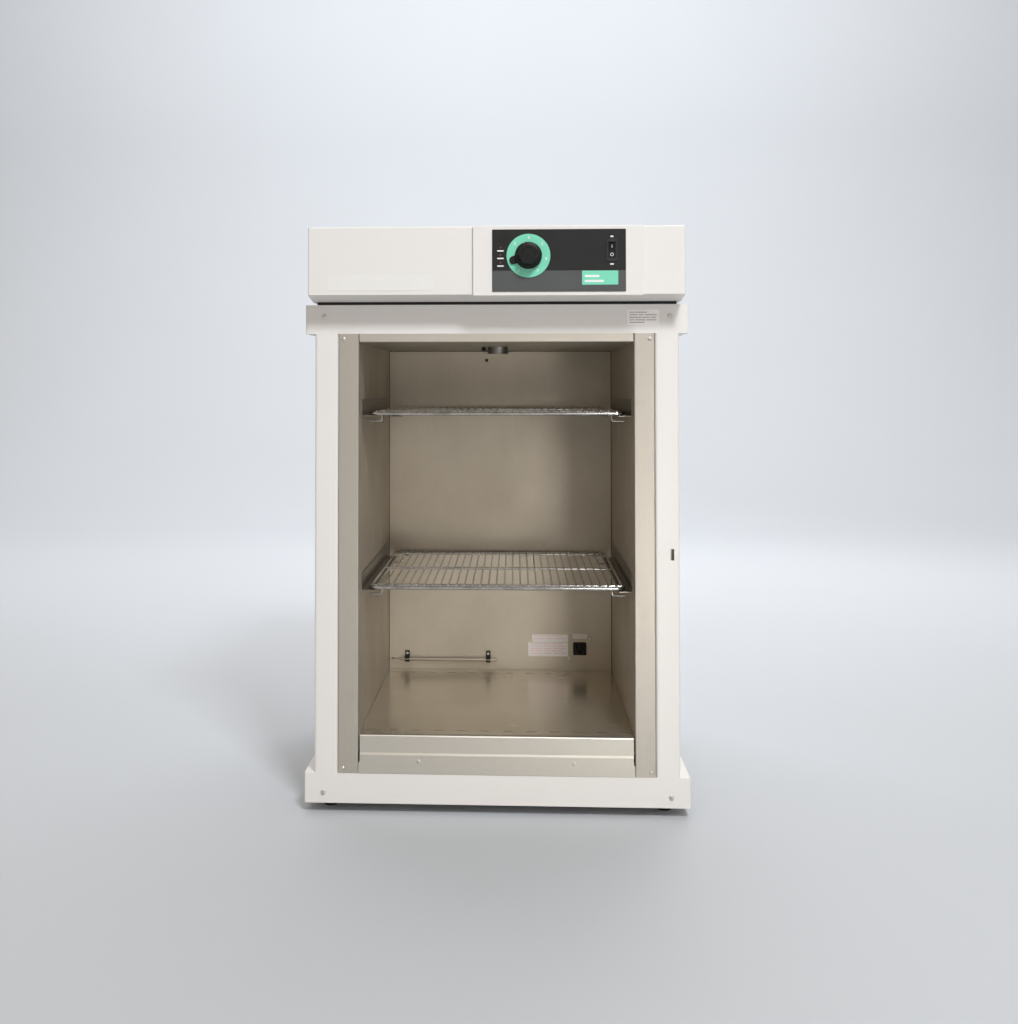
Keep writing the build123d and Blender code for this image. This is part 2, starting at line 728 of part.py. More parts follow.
def liner_screws():
    jambs = [(x, front, z) for x in (-254, 254) for z in (74, 785)]
    sill = [(x, sill_face, 86) for x in (-128, 128)]
    receptacle = [(184, back, 190), (142, back, 151)]
    screws = [pan_screw(x, y, z, 3.3, 2.0, 6) for x, y, z in jambs + sill + receptacle]
    screws += [pan_screw(x, back - 5, bulb_z + 11.5, 2.9, 2.0, 10) for x in clip_places]
    return Compound(children=screws)


# ---------------------------------------------------------------- nodes
nodes = {
    "left_side_panel": side_panel(-1),
    "right_side_panel": side_panel(1),
    "rear_panel": rear_panel(),
    "base_frame": base_frame(),
    "top_frame": top_frame(),
    "feet": Compound(children=[foot(x, y) for x, y in foot_places]),
    "foot_bolts": Compound(children=[foot_bolt(x, y) for x, y in foot_places]),
    "left_jamb": jamb(-1),
    "right_jamb": jamb(1),
    "front_header": front_header(),
    "front_sill": front_sill(),
    "liner_left_wall": liner_side(-1),
    "liner_right_wall": liner_side(1),
    "liner_back_wall": liner_back(),
    "liner_ceiling": liner_ceiling(),
    "liner_floor_pan": liner_floor(),
    "floor_diffuser": floor_diffuser(),
    "insulation_left": insulation_side(-1),
    "insulation_right": insulation_side(1),
    "insulation_back": insulation_back(),
    "insulation_top": insulation_top(),
    "insulation_bottom": insulation_bottom(),
    "upper_shelf": wire_shelf(upper_shelf_top),
    "lower_shelf": wire_shelf(lower_shelf_top),
    "upper_left_bracket": shelf_bracket(-1, upper_shelf_top),
    "upper_right_bracket": shelf_bracket(1, upper_shelf_top),
    "lower_left_bracket": shelf_bracket(-1, lower_shelf_top),
    "lower_right_bracket": shelf_bracket(1, lower_shelf_top),
    "heater_element": heater_element(),
    "heater_supports": heater_supports(),
    "sensor_bulb": sensor_bulb(),
    "capillary_tube": capillary_tube(),
    "sensor_clips": Compound(children=[sensor_clip(x) for x in clip_places]),
    "strike_box": strike_box(),
    "outlet_receptacle": outlet_receptacle(),
    "back_wall_labels": back_wall_labels(),
    "vent_tube": vent_tube(),
    "vent_seat": vent_seat(),
    "vent_cap": vent_cap(),
    "console_housing": console_housing(),
    "console_rear_cover": console_rear_cover(),
    "console_gasket": console_gasket(),
    "control_module": control_module(),
    "control_overlay": control_overlay(),
    "accent_label": label(139.9, 197.9, 869.6, 892.3, overlay_face, 0.4),
    "name_strip": label(-273, -102, 862, 887.5, front - console_overhang, 0.5),
    "rating_label": label(217.5, 269.5, 808, 833, front, 0.3),
    "temperature_dial": temperature_dial(),
    "temperature_knob": temperature_knob(),
    "thermostat_shaft": thermostat_shaft(),
    "thermostat_body": thermostat_body(),
    "knob_lock_lever": knob_lock_lever(),
    "rocker_bezel": rocker_bezel(),
    "rocker_button": rocker_button(),
    "pilot_lamps": pilot_lamps(),
    "power_inlet": power_inlet(),
    "fuse_holder": fuse_holder(),
    "terminal_block": terminal_block(),
    "casing_screws": casing_screws(),
    "liner_screws": liner_screws(),
}

os.makedirs("parts", exist_ok=True)
for name, shape in nodes.items():
    export_step(shape, f"parts/{name}.step")
    print(name, len(shape.solids()), "solids")
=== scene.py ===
import json
import math

import bmesh
import bpy
from mathutils import Matrix, Vector


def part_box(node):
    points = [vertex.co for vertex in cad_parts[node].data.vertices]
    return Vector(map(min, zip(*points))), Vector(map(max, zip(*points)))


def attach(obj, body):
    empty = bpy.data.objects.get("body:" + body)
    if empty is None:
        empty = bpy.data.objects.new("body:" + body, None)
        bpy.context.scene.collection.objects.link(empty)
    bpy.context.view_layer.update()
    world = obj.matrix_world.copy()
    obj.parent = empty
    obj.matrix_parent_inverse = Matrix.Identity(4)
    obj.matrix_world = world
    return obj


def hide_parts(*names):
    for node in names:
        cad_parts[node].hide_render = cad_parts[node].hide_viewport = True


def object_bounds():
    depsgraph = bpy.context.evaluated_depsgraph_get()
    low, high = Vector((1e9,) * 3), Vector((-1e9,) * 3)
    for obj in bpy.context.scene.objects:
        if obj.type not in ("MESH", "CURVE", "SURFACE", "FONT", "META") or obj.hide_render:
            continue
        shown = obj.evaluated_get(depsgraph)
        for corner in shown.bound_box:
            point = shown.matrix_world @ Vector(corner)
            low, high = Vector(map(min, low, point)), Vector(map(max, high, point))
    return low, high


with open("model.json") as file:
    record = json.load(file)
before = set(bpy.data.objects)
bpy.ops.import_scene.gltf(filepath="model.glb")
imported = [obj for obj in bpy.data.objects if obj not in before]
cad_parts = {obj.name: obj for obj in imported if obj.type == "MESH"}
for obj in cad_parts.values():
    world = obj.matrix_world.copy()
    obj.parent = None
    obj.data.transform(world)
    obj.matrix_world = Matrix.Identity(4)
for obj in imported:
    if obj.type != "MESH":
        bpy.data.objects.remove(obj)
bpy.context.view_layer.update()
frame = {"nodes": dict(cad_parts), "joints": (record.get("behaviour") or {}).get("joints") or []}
nodes = frame["nodes"]
mm = 0.001
print("frame loaded:", len(nodes), "nodes")


# ---- view and light
view = {
    "place": (0.034, -2.3104, 0.702),
    "turn": 2.833,
    "tilt": 1.253,
    "lens": 43.72,
    "shift": (0.053, -0.1468),
}
camera = bpy.data.objects.new("camera", bpy.data.cameras.new("camera"))
camera.data.lens = view["lens"]
camera.data.sensor_width = 36
camera.data.shift_x, camera.data.shift_y = view["shift"]
camera.location = view["place"]
camera.rotation_euler = (math.radians(90 + view["tilt"]), 0, math.radians(view["turn"]))
bpy.context.collection.objects.link(camera)
bpy.context.scene.camera = camera
bpy.context.scene.view_settings.view_transform = "Standard"

lights = {
    "key": {"place": (0.8, -2.6, 3.1), "aim": (0.0, -0.2, 0.6), "size": (0.6, 0.6), "power": 84,
            "colour": (0.90, 0.94, 0.97), "spread": 180},
    "low": {"place": (0.95, -3.25, 0.12), "aim": (0.0, 0.25, 0.33), "size": (0.5, 0.4), "power": 0.62,
            "colour": (1.0, 0.97, 0.92), "spread": 30},
    "rear": {"place": (0.6, 3.0, 2.4), "aim": (0.0, 0.2, 0.6), "size": (2.2, 1.6), "power": 30,
             "colour": (1.0, 1.0, 1.0), "spread": 180},
    "wash": {"place": (0.0, 2.6, 4.6), "aim": (0.0, 5.0, 1.4), "size": (6.0, 1.0), "power": 245,
             "colour": (0.92, 0.96, 1.0), "spread": 180},
}
for name, one in lights.items():
    data = bpy.data.lights.new(name, "AREA")
    data.shape = "RECTANGLE"
    data.size, data.size_y = one["size"]
    data.energy = one["power"]
    data.color = one["colour"]
    data.spread = math.radians(one["spread"])
    lamp = bpy.data.objects.new(name, data)
    lamp.location = one["place"]
    away = Vector(one["place"]) - Vector(one["aim"])
    lamp.rotation_euler = away.to_track_quat("Z", "Y").to_euler()
    bpy.context.collection.objects.link(lamp)

world = bpy.data.worlds.new("studio")
world.use_nodes = True
world.node_tree.nodes["Background"].inputs["Color"].default_value = (1.0, 0.91, 0.81, 1)
world.node_tree.nodes["Background"].inputs["Strength"].default_value = 0.51
bpy.context.scene.world = world
print("camera and lights placed")


# ---- shader sums
class Sock:
    # a socket that can stand in sums; each sum adds its Math node
    def __init__(self, finish, socket):
        self.finish, self.socket = finish, socket

    def sum(self, operation, first, second):
        return self.finish.node("ShaderNodeMath", {"operation": operation}, {0: first, 1: second})

    def __add__(self, other):
        return self.sum("ADD", self, other)

    def __rsub__(self, other):
        return self.sum("SUBTRACT", other, self)

    def __mul__(self, other):
        return self.sum("MULTIPLY", self, other)

    def __lt__(self, other):
        return self.sum("LESS_THAN", self, other)

    __radd__ = __add__
    __rmul__ = __mul__


class Finish:
    # one material: its shader, and the nodes that feed it
    def __init__(self, name, **constants):
        self.material = bpy.data.materials.new(name)
        self.material.use_nodes = True
        self.tree = self.material.node_tree
        self.shader = self.tree.nodes["Principled BSDF"]
        for key, value in constants.items():
            self.shader.inputs[key.replace("_", " ")].default_value = value
        self.place = self.node("ShaderNodeTexCoord", output="Object")

    def node(self, kind, settings=None, inputs=None, output=0):
        made = self.tree.nodes.new(kind)
        for key, value in (settings or {}).items():
            if key == "stops":
                ramp = made.color_ramp
                while len(ramp.elements) < len(value):
                    ramp.elements.new(0.5)
                for element, (spot, colour) in zip(ramp.elements, value):
                    element.position = spot
                    element.color = colour if len(colour) == 4 else (*colour, 1)
            else:
                setattr(made, key, value)
        for key, value in (inputs or {}).items():
            if isinstance(value, Sock):
                self.tree.links.new(value.socket, made.inputs[key])
            else:
                made.inputs[key].default_value = value
        return Sock(self, made.outputs[output])

    def axis(self, letter):
        return self.node("ShaderNodeSeparateXYZ", None, {0: self.place}, letter)

    def stretched(self, scales):
        return self.node("ShaderNodeVectorMath", {"operation": "MULTIPLY"}, {0: self.place, 1: scales})

    def noise(self, scales, detail=3.0, rough=0.55):
        # soft noise, with a scale of its own on each axis
        return self.node("ShaderNodeTexNoise", None,
                         {"Vector": self.stretched(scales), "Scale": 1.0, "Detail": detail, "Roughness": rough})

    def ramp(self, value, low, high):
        # 0 below low, 1 above high
        return self.node("ShaderNodeMapRange", {"clamp": True},
                         {"Value": value, "From Min": low, "From Max": high})

    def mixed(self, first, second, amount):
        ends = [(*one, 1) if isinstance(one, tuple) and len(one) == 3 else one for one in (first, second)]
        return self.node("ShaderNodeMix", {"data_type": "RGBA"}, {0: amount, 6: ends[0], 7: ends[1]}, 2)

    def feed(self, **links):
        for key, value in links.items():
            self.tree.links.new(value.socket, self.shader.inputs[key.replace("_", " ")])

    def bump(self, height, strength, distance):
        normal = self.node("ShaderNodeBump", None,
                           {"Height": height, "Strength": strength, "Distance": distance})
        self.feed(Normal=normal)


# ---- finishes
def powderCoat():
    look = {"clean": (0.80, 0.775, 0.75), "worn": (0.70, 0.67, 0.635), "gloss": 0.38}
    coat = Finish("powderCoat", IOR=1.5, Specular_IOR_Level=0.45)
    cloud = coat.noise((3.1, 3.1, 2.3), 4.0)
    smudge = coat.ramp(coat.noise((14, 14, 9), 5.0, 0.7), 0.62, 0.85)
    scuff = coat.ramp(coat.noise((160, 160, 35), 4.0, 0.8), 0.70, 0.82)
    # the paint is made a little darker over the bottom ten centimetres, nearest the floor, on top of the cloud,
    # smudges and scuffs
    low = 1 - coat.ramp(coat.axis("Z"), 0.01, 0.10)
    wearAndLowDarkening = cloud * 0.16 + smudge * 0.20 + scuff * 0.12 + low * 0.10
    coat.feed(Base_Color=coat.mixed(look["clean"], look["worn"], wearAndLowDarkening))
    coat.feed(Roughness=look["gloss"] + cloud * 0.08 + smudge * 0.12)
    coat.bump(coat.noise((1500, 1500, 1500), 2.0), 0.10, 0.0004)
    return coat.material


def brushedSheet(name, grain, warm, dark, gloss):
    # grain gives the brushing: large numbers across it, a small one along it
    sheet = Finish(name, Metallic=1.0)
    lines = sheet.noise(grain, 3.0, 0.7)
    cloud = sheet.noise((5, 5, 4), 3.0)
    stain = sheet.ramp(sheet.noise((19, 19, 13), 5.0, 0.75), 0.58, 0.80)
    sheet.feed(Base_Color=sheet.mixed(warm, dark, lines * 0.30 + cloud * 0.25 + stain * 0.25))
    sheet.feed(Roughness=gloss + lines * 0.14 + stain * 0.10)
    sheet.bump(lines, 0.16, 0.0002)
    return sheet.material


def dullSheet(name, look):
    # rolled stainless that has been cleaned many times: cloudy, with a fine grain
    sheet = Finish(name, Metallic=look["metal"], Specular_IOR_Level=0.4)
    cloud = sheet.ramp(sheet.noise((7, 7, 6), 4.0, 0.6), 0.22, 0.80)
    grain = sheet.noise((650, 650, 650), 2.0, 0.6)
    streak = sheet.noise(look["streak"], 3.0, 0.7)
    stain = sheet.ramp(sheet.noise((21, 21, 12), 5.0, 0.75), 0.60, 0.85)
    shade = cloud * 0.42 + grain * 0.16 + streak * 0.14 + stain * 0.2
    sheet.feed(Base_Color=sheet.mixed(look["pale"], look["dark"], shade))
    sheet.feed(Roughness=look["gloss"] + cloud * look["spots"] + grain * 0.06)
    sheet.bump(grain * 0.6 + streak * 0.4, 0.14, 0.0002)
    return sheet.material


def chromeWire():
    wire = Finish("chromeWire", Metallic=1.0)
    cloud = wire.noise((60, 60, 60), 4.0)
    wire.feed(Base_Color=wire.mixed((0.58, 0.565, 0.54), (0.28, 0.265, 0.24), wire.ramp(cloud, 0.40, 0.80)))
    wire.feed(Roughness=0.09 + cloud * 0.12)
    wire.bump(wire.noise((900, 900, 900), 2.0), 0.08, 0.0002)
    return wire.material


def mouldedPlastic(name, tone, gloss, grain=1400, depth=0.18):
    plastic = Finish(name, IOR=1.48, Specular_IOR_Level=0.28)
    cloud = plastic.noise((45, 45, 45), 4.0)
    dust = plastic.ramp(plastic.noise((230, 230, 230), 4.0, 0.75), 0.60, 0.85)
    lighter = tuple(part * 1.6 + 0.008 for part in tone)
    plastic.feed(Base_Color=plastic.mixed(tone, lighter, cloud * 0.3 + dust * 0.35))
    plastic.feed(Roughness=gloss + cloud * 0.12 + dust * 0.12)
    plastic.bump(plastic.noise((grain, grain, grain), 2.0), depth, 0.0003)
    return plastic.material


def printedOverlay():
    # dark film with a paler band printed along its foot
    low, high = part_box("control_overlay")
    bandShare = 0.338
    bandTop = low[2] + (high[2] - low[2]) * bandShare
    film = Finish("printedOverlay", IOR=1.46, Specular_IOR_Level=0.3)
    band = film.axis("Z") < bandTop
    cloud = film.noise((25, 25, 25), 4.0)
    dark = film.mixed((0.016, 0.016, 0.0165), (0.024, 0.0235, 0.024), cloud)
    pale = film.mixed((0.082, 0.084, 0.086), (0.098, 0.10, 0.102), cloud)
    film.feed(Base_Color=film.mixed(dark, pale, band))
    film.feed(Roughness=0.34 + cloud * 0.16)
    film.bump(film.noise((1100, 1100, 1100), 2.0), 0.10, 0.0003)
    return film.material


def printedColour(name, tone, gloss=0.4):
    ink = Finish(name, IOR=1.46)
    cloud = ink.noise((40, 40, 40), 4.0)
    faded = tuple(part * 0.86 + 0.02 for part in tone)
    ink.feed(Base_Color=ink.mixed(tone, faded, cloud * 0.5))
    ink.feed(Roughness=gloss + cloud * 0.12)
    ink.bump(ink.noise((1300, 1300, 1300), 2.0), 0.08, 0.0003)
    return ink.material


def foamStrip():
    foam = Finish("foamStrip", Roughness=0.95)
    cells = foam.node("ShaderNodeTexVoronoi", None, {"Vector": foam.place, "Scale": 900.0})
    foam.feed(Base_Color=foam.mixed((0.008, 0.008, 0.008), (0.03, 0.03, 0.03), cells))
    foam.bump(cells, 0.5, 0.0006)
    return foam.material


def lampLens():
    lens = Finish("lampLens", Transmission_Weight=0.35, IOR=1.49, Coat_Weight=0.4)
    cloud = lens.noise((300, 300, 300), 3.0)
    lens.feed(Base_Color=lens.mixed((0.16, 0.05, 0.04), (0.10, 0.03, 0.03), cloud))
    lens.feed(Roughness=0.22 + cloud * 0.15)
    return lens.material


def glassWool():
    # brown mineral fibre, only seen through slots and seams
    wool = Finish("glassWool", Roughness=0.95)
    fibres = wool.noise((300, 60, 300), 6.0, 0.8)
    wool.feed(Base_Color=wool.mixed((0.10, 0.082, 0.05), (0.05, 0.042, 0.028), fibres))
    wool.bump(fibres, 0.8, 0.003)
    return wool.material


def studioFloor():
    floor = Finish("studioFloor", Roughness=0.7)
    cloud = floor.noise((1.5, 1.5, 1.5), 3.0)
    floor.feed(Base_Color=floor.mixed((0.54, 0.56, 0.59), (0.52, 0.54, 0.57), cloud))
    return floor.material


finishes = {
    "white": powderCoat(),
    "jamb": brushedSheet("jambSteel", (900, 900, 6), (0.60, 0.56, 0.50), (0.45, 0.415, 0.36), 0.42),
    "strip": brushedSheet("stripSteel", (6, 900, 900), (0.72, 0.68, 0.61), (0.55, 0.51, 0.45), 0.34),
    "liner": dullSheet("linerSteel", {
        "pale": (0.63, 0.57, 0.475), "dark": (0.38, 0.33, 0.262), "metal": 0.75,
        "gloss": 0.42, "spots": 0.12, "streak": (420, 420, 10)}),
    "floorPlate": dullSheet("floorSteel", {
        "pale": (0.80, 0.735, 0.63), "dark": (0.52, 0.47, 0.385), "metal": 0.85,
        "gloss": 0.15, "spots": 0.12, "streak": (10, 300, 300)}),
    "bracket": brushedSheet("bracketSteel", (500, 8, 500), (0.34, 0.32, 0.285), (0.22, 0.205, 0.18), 0.28),
    "screw": brushedSheet("screwSteel", (700, 700, 700), (0.74, 0.72, 0.68), (0.45, 0.43, 0.39), 0.24),
    "sheath": brushedSheet("heaterSheath", (300, 40, 300), (0.40, 0.36, 0.31), (0.22, 0.18, 0.15), 0.42),
    "copper": brushedSheet("bulbMetal", (40, 300, 300), (0.52, 0.46, 0.39), (0.34, 0.29, 0.24), 0.30),
    "turned": brushedSheet("turnedAlloy", (90, 90, 1200), (0.36, 0.35, 0.335), (0.24, 0.235, 0.22), 0.36),
    "wire": chromeWire(),
    "black": mouldedPlastic("blackPlastic", (0.007, 0.007, 0.007), 0.40),
    "bezel": mouldedPlastic("bezelPlastic", (0.028, 0.028, 0.029), 0.46),
    "rubber": mouldedPlastic("footRubber", (0.014, 0.013, 0.013), 0.72, 700, 0.3),
    "foam": foamStrip(),
    "overlay": printedOverlay(),
    "green": printedColour("greenInk", (0.20, 0.70, 0.49)),
    "label": printedColour("labelStock", (0.96, 0.915, 0.90), 0.46),
    "blankStrip": printedColour("blankStrip", (0.83, 0.815, 0.79), 0.30),
    "whiteInk": printedColour("whiteInk", (0.86, 0.88, 0.86), 0.5),
    "greyInk": printedColour("greyInk", (0.42, 0.41, 0.41), 0.5),
    "rosyInk": printedColour("rosyInk", (0.84, 0.60, 0.59), 0.5),
    "lens": lampLens(),
    "wool": glassWool(),
    "floor": studioFloor(),
}
wears = {
    "white": ["left_side_panel", "right_side_panel", "rear_panel", "base_frame", "top_frame",
              "console_housing", "console_rear_cover", "control_module"],
    "jamb": ["left_jamb", "right_jamb"],
    "strip": ["front_header", "front_sill"],
    "liner": ["liner_left_wall", "liner_right_wall", "liner_back_wall", "liner_ceiling", "liner_floor_pan"],
    "floorPlate": ["floor_diffuser"],
    "bracket": ["upper_left_bracket", "upper_right_bracket", "lower_left_bracket", "lower_right_bracket",
                "heater_supports"],
    "screw": ["foot_bolts", "thermostat_shaft"],
    "sheath": ["heater_element", "strike_box"],
    "copper": ["sensor_bulb", "capillary_tube"],
    "turned": ["vent_tube", "vent_seat"],
    "wire": ["upper_shelf", "lower_shelf"],
    "black": ["sensor_clips", "outlet_receptacle", "vent_cap", "temperature_knob", "thermostat_body",
              "knob_lock_lever", "rocker_button", "power_inlet", "fuse_holder", "terminal_block"],
    "bezel": ["rocker_bezel"],
    "rubber": ["feet"],
    "foam": ["console_gasket"],
    "overlay": ["control_overlay"],
    "green": ["accent_label", "temperature_dial"],
    "label": ["rating_label", "back_wall_labels"],
    "blankStrip": ["name_strip"],
    "lens": ["pilot_lamps"],
    "wool": ["insulation_left", "insulation_right", "insulation_back", "insulation_top", "insulation_bottom"],
}
for finish, names in wears.items():
    for name in names:
        slots = nodes[name].data.materials
        slots.clear()
        slots.append(finishes[finish])
print("finishes on", sum(len(names) for names in wears.values()), "nodes")


# ---- making pieces
def meshFrom(work, name):
    mesh = bpy.data.meshes.new(name)
    work.to_mesh(mesh)
    work.free()
    return mesh


def addPiece(name, mesh, finish, body):
    piece = bpy.data.objects.new(name, mesh)
    bpy.context.collection.objects.link(piece)
    mesh.materials.clear()
    mesh.materials.append(finishes[finish])
    for face in mesh.polygons:
        face.use_smooth = False
    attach(piece, body)
    return piece


def islands(node):
    # lowest and highest corner of each separate solid in a node
    work = bmesh.new()
    work.from_mesh(nodes[node].data)
    bmesh.ops.remove_doubles(work, verts=work.verts, dist=1e-6)
    left, boxes = set(work.verts), []
    while left:
        group, queue = set(), [left.pop()]
        while queue:
            vert = queue.pop()
            group.add(vert)
            for edge in vert.link_edges:
                other = edge.other_vert(vert)
                if other in left:
                    left.discard(other)
                    queue.append(other)
        places = [nodes[node].matrix_world @ vert.co for vert in group]
        boxes.append([Vector([pick(place[axis] for place in places) for axis in range(3)])
                      for pick in (min, max)])
    work.free()
    return sorted(boxes, key=lambda box: tuple(box[0]))


def bridge(work, first, second):
    # faces between two rings of corners
    for side in range(len(first)):
        after = (side + 1) % len(first)
        work.faces.new((first[side], first[after], second[after], second[side]))


# shares of a head's radius or height
headShape = {"steps": 7, "sides": 28, "rim": 0.28, "dome": 0.8, "rise": 0.58,
             "crossLong": 1.1, "crossDeep": 0.9, "crossWide": 0.24}


def screwHead(radius, height):
    # domed head on a washer rim with a cross recess, facing -Y, its seat at the origin
    work = bmesh.new()
    steps, sides, rim = headShape["steps"], headShape["sides"], headShape["rim"]
    profile = [(radius, 0.0), (radius, height * rim)]
    for step in range(1, steps):
        angle = math.radians(90 * step / steps)
        profile.append((radius * math.cos(angle) ** headShape["dome"],
                        height * (rim + (1 - rim) * math.sin(angle))))
    rings = []
    for reach, rise in profile:
        rings.append([work.verts.new((reach * math.cos(2 * math.pi * side / sides), -rise,
                                      reach * math.sin(2 * math.pi * side / sides)))
                      for side in range(sides)])
    tip = work.verts.new((0, -height, 0))
    for low, high in zip(rings, rings[1:]):
        bridge(work, low, high)
    for side in range(sides):
        work.faces.new((rings[-1][side], rings[-1][(side + 1) % sides], tip))
    work.faces.new(reversed(rings[0]))
    bmesh.ops.recalc_face_normals(work, faces=work.faces)
    head = bpy.data.objects.new("screwHead", meshFrom(work, "screwHead"))
    bpy.context.collection.objects.link(head)
    cutters = []
    size = (radius * headShape["crossLong"], height * headShape["crossDeep"],
            radius * headShape["crossWide"], 1)
    for turn in (0, 90):
        cut = bmesh.new()
        bmesh.ops.create_cube(cut, size=1.0, matrix=Matrix.Rotation(math.radians(turn), 4, "Y")
                              @ Matrix.Translation((0, -height, 0)) @ Matrix.Diagonal(size))
        cutter = bpy.data.objects.new("crossCut", meshFrom(cut, "crossCut"))
        bpy.context.collection.objects.link(cutter)
        cutters.append(cutter)
        trim = head.modifiers.new("cross", "BOOLEAN")
        trim.operation, trim.object, trim.solver = "DIFFERENCE", cutter, "EXACT"
    view = bpy.context.evaluated_depsgraph_get()
    made = bpy.data.meshes.new_from_object(head.evaluated_get(view))
    for spare in [head] + cutters:
        bpy.data.objects.remove(spare)
    return made


def addScrews(name, node, slant):
    # a detailed head over each plain screw of a node, each turned a little more than the last
    low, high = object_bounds()
    middle = (low[1] + high[1]) / 2
    templates = {}
    work = bmesh.new()
    for index, (near, far) in enumerate(islands(node)):
        centre = (near + far) / 2
        radius = (far.x - near.x) / 2
        height = radius * headShape["rise"]
        size = round(radius / mm, 1)
        if size not in templates:
            templates[size] = screwHead(radius, height)
        behind = node == "casing_screws" and centre.y > middle
        seat = far.y - height if behind else near.y + height
        spin = Matrix.Rotation(math.radians(slant * (index + 1)), 4, "Y")
        face = Matrix.Rotation(math.pi if behind else 0.0, 4, "Z")
        start = len(work.verts)
        work.from_mesh(templates[size])
        work.verts.ensure_lookup_table()
        bmesh.ops.transform(work, verts=work.verts[start:],
                            matrix=Matrix.Translation((centre.x, seat, centre.z)) @ face @ spin)
    piece = addPiece(name, meshFrom(work, name), "screw", "cabinet")
    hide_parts(node)


addScrews("casingScrewHeads", "casing_screws", 37)
addScrews("linerScrewHeads", "liner_screws", 53)


def addThumbScrew():
    # knurled screw in the ceiling beside the vent tube; its rings are (drop, reach) shares
    shape = {"radius": 4.2 * mm, "height": 7 * mm, "ribs": 18, "gap": 8 * mm, "groove": 0.94, "neck": 0.9,
             "rings": ((0.0, 0.62), (0.2, 0.62), (0.24, 0.96), (0.92, 1.0), (1.0, 0.86))}
    low, high = [Vector(corner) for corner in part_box("vent_tube")]
    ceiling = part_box("liner_ceiling")[0][2]
    centre = Vector((low.x - shape["gap"], (low.y + high.y) / 2, ceiling))
    work = bmesh.new()
    sides = shape["ribs"] * 2
    rings = []
    for drop, reach in shape["rings"]:
        ring = []
        for side in range(sides):
            angle = 2 * math.pi * side / sides
            grooved = side % 2 and reach > shape["neck"]
            radius = shape["radius"] * reach * (shape["groove"] if grooved else 1.0)
            ring.append(work.verts.new((centre.x + radius * math.cos(angle),
                                        centre.y + radius * math.sin(angle),
                                        centre.z - drop * shape["height"])))
        rings.append(ring)
    for ring, following in zip(rings, rings[1:]):
        bridge(work, following, ring)
    work.faces.new(rings[0])
    work.faces.new(reversed(rings[-1]))
    bmesh.ops.recalc_face_normals(work, faces=work.faces)
    addPiece("ventThumbScrew", meshFrom(work, "ventThumbScrew"), "black", "cabinet")


addThumbScrew()
print("screw heads made")


# ---- printing
inkRise = 0.12 * mm


def addPlates(name, shapes, y, finish):
    # thin raised ink facing -Y: each shape is a list of corners as (x, z)
    work = bmesh.new()
    for corners in shapes:
        front = [work.verts.new((x, y - inkRise, z)) for x, z in corners]
        rear = [work.verts.new((x, y, z)) for x, z in corners]
        work.faces.new(front)
        work.faces.new(reversed(rear))
        bridge(work, front, rear)
    bmesh.ops.recalc_face_normals(work, faces=work.faces)
    addPiece(name, meshFrom(work, name), finish, "cabinet")


def bar(x, z, width, height):
    # a short bar with clipped corners, standing for a word
    clip = height * 0.3
    right, top = x + width, z + height
    return [(x + clip, z), (right - clip, z), (right, z + clip), (right, top - clip),
            (right - clip, top), (x + clip, top), (x, top - clip), (x, z + clip)]


def words(x, z, lengths, height, gap):
    shapes = []
    for length in lengths:
        shapes.append(bar(x, z, length, height))
        x += length + gap
    return shapes


def caption(middle, z, width, height):
    return bar(middle - width / 2, z, width, height)


dialLow, dialHigh = [Vector(corner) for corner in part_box("temperature_dial")]
dialCentre = (dialLow + dialHigh) / 2


def addDialNumbers():
    # numbers round the dial, the angles in degrees from +X
    dial = {"numbers": 7, "first": -122.6, "step": -49.4, "reach": 28.9 * mm, "size": 6.6 * mm,
            "weight": 0.16 * mm}
    work = bmesh.new()
    for index in range(dial["numbers"]):
        text = bpy.data.curves.new("number", "FONT")
        text.body = str(index + 1)
        text.size = dial["size"]
        text.align_x, text.align_y = "CENTER", "CENTER"
        text.extrude = inkRise / 2
        text.offset = dial["weight"]
        holder = bpy.data.objects.new("number", text)
        bpy.context.collection.objects.link(holder)
        view = bpy.context.evaluated_depsgraph_get()
        flat = bpy.data.meshes.new_from_object(holder.evaluated_get(view))
        bpy.data.objects.remove(holder)
        angle = math.radians(dial["first"] + index * dial["step"])
        spot = Vector((dialCentre.x + dial["reach"] * math.cos(angle), dialLow.y - inkRise / 2,
                       dialCentre.z + dial["reach"] * math.sin(angle)))
        start = len(work.verts)
        work.from_mesh(flat)
        work.verts.ensure_lookup_table()
        bmesh.ops.transform(work, matrix=Matrix.Translation(spot) @ Matrix.Rotation(math.pi / 2, 4, "X"),
                            verts=work.verts[start:])
    bmesh.ops.remove_doubles(work, verts=work.verts, dist=1e-7)
    addPiece("dialNumbers", meshFrom(work, "dialNumbers"), "whiteInk", "cabinet")


def addPanelMarks():
    # captions under the lamps, and above and below the switch
    lamp = {"width": 10.8 * mm, "height": 2.1 * mm, "drop": 4.3 * mm}
    switch = {"upper": 4.8 * mm, "lower": 6.0 * mm, "height": 2.4 * mm, "above": 2.2 * mm, "below": 5.0 * mm}
    shapes = []
    for near, far in islands("pilot_lamps"):
        shapes.append(caption((near.x + far.x) / 2, near.z - lamp["drop"], lamp["width"], lamp["height"]))
    low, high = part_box("rocker_bezel")
    middle = (low[0] + high[0]) / 2
    shapes.append(caption(middle, high[2] + switch["above"], switch["upper"], switch["height"]))
    shapes.append(caption(middle, low[2] - switch["below"], switch["lower"], switch["height"]))
    addPlates("panelMarks", shapes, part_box("control_overlay")[0][1], "whiteInk")


def addAccentMarks():
    # two bars where a name would be; each row is (height above the label's foot, length)
    accent = {"inset": 4 * mm, "height": 3.6 * mm, "rows": ((12.2 * mm, 24 * mm), (4.2 * mm, 31 * mm))}
    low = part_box("accent_label")[0]
    shapes = [bar(low[0] + accent["inset"], low[2] + rise, length, accent["height"])
              for rise, length in accent["rows"]]
    addPlates("accentMarks", shapes, low[1], "whiteInk")


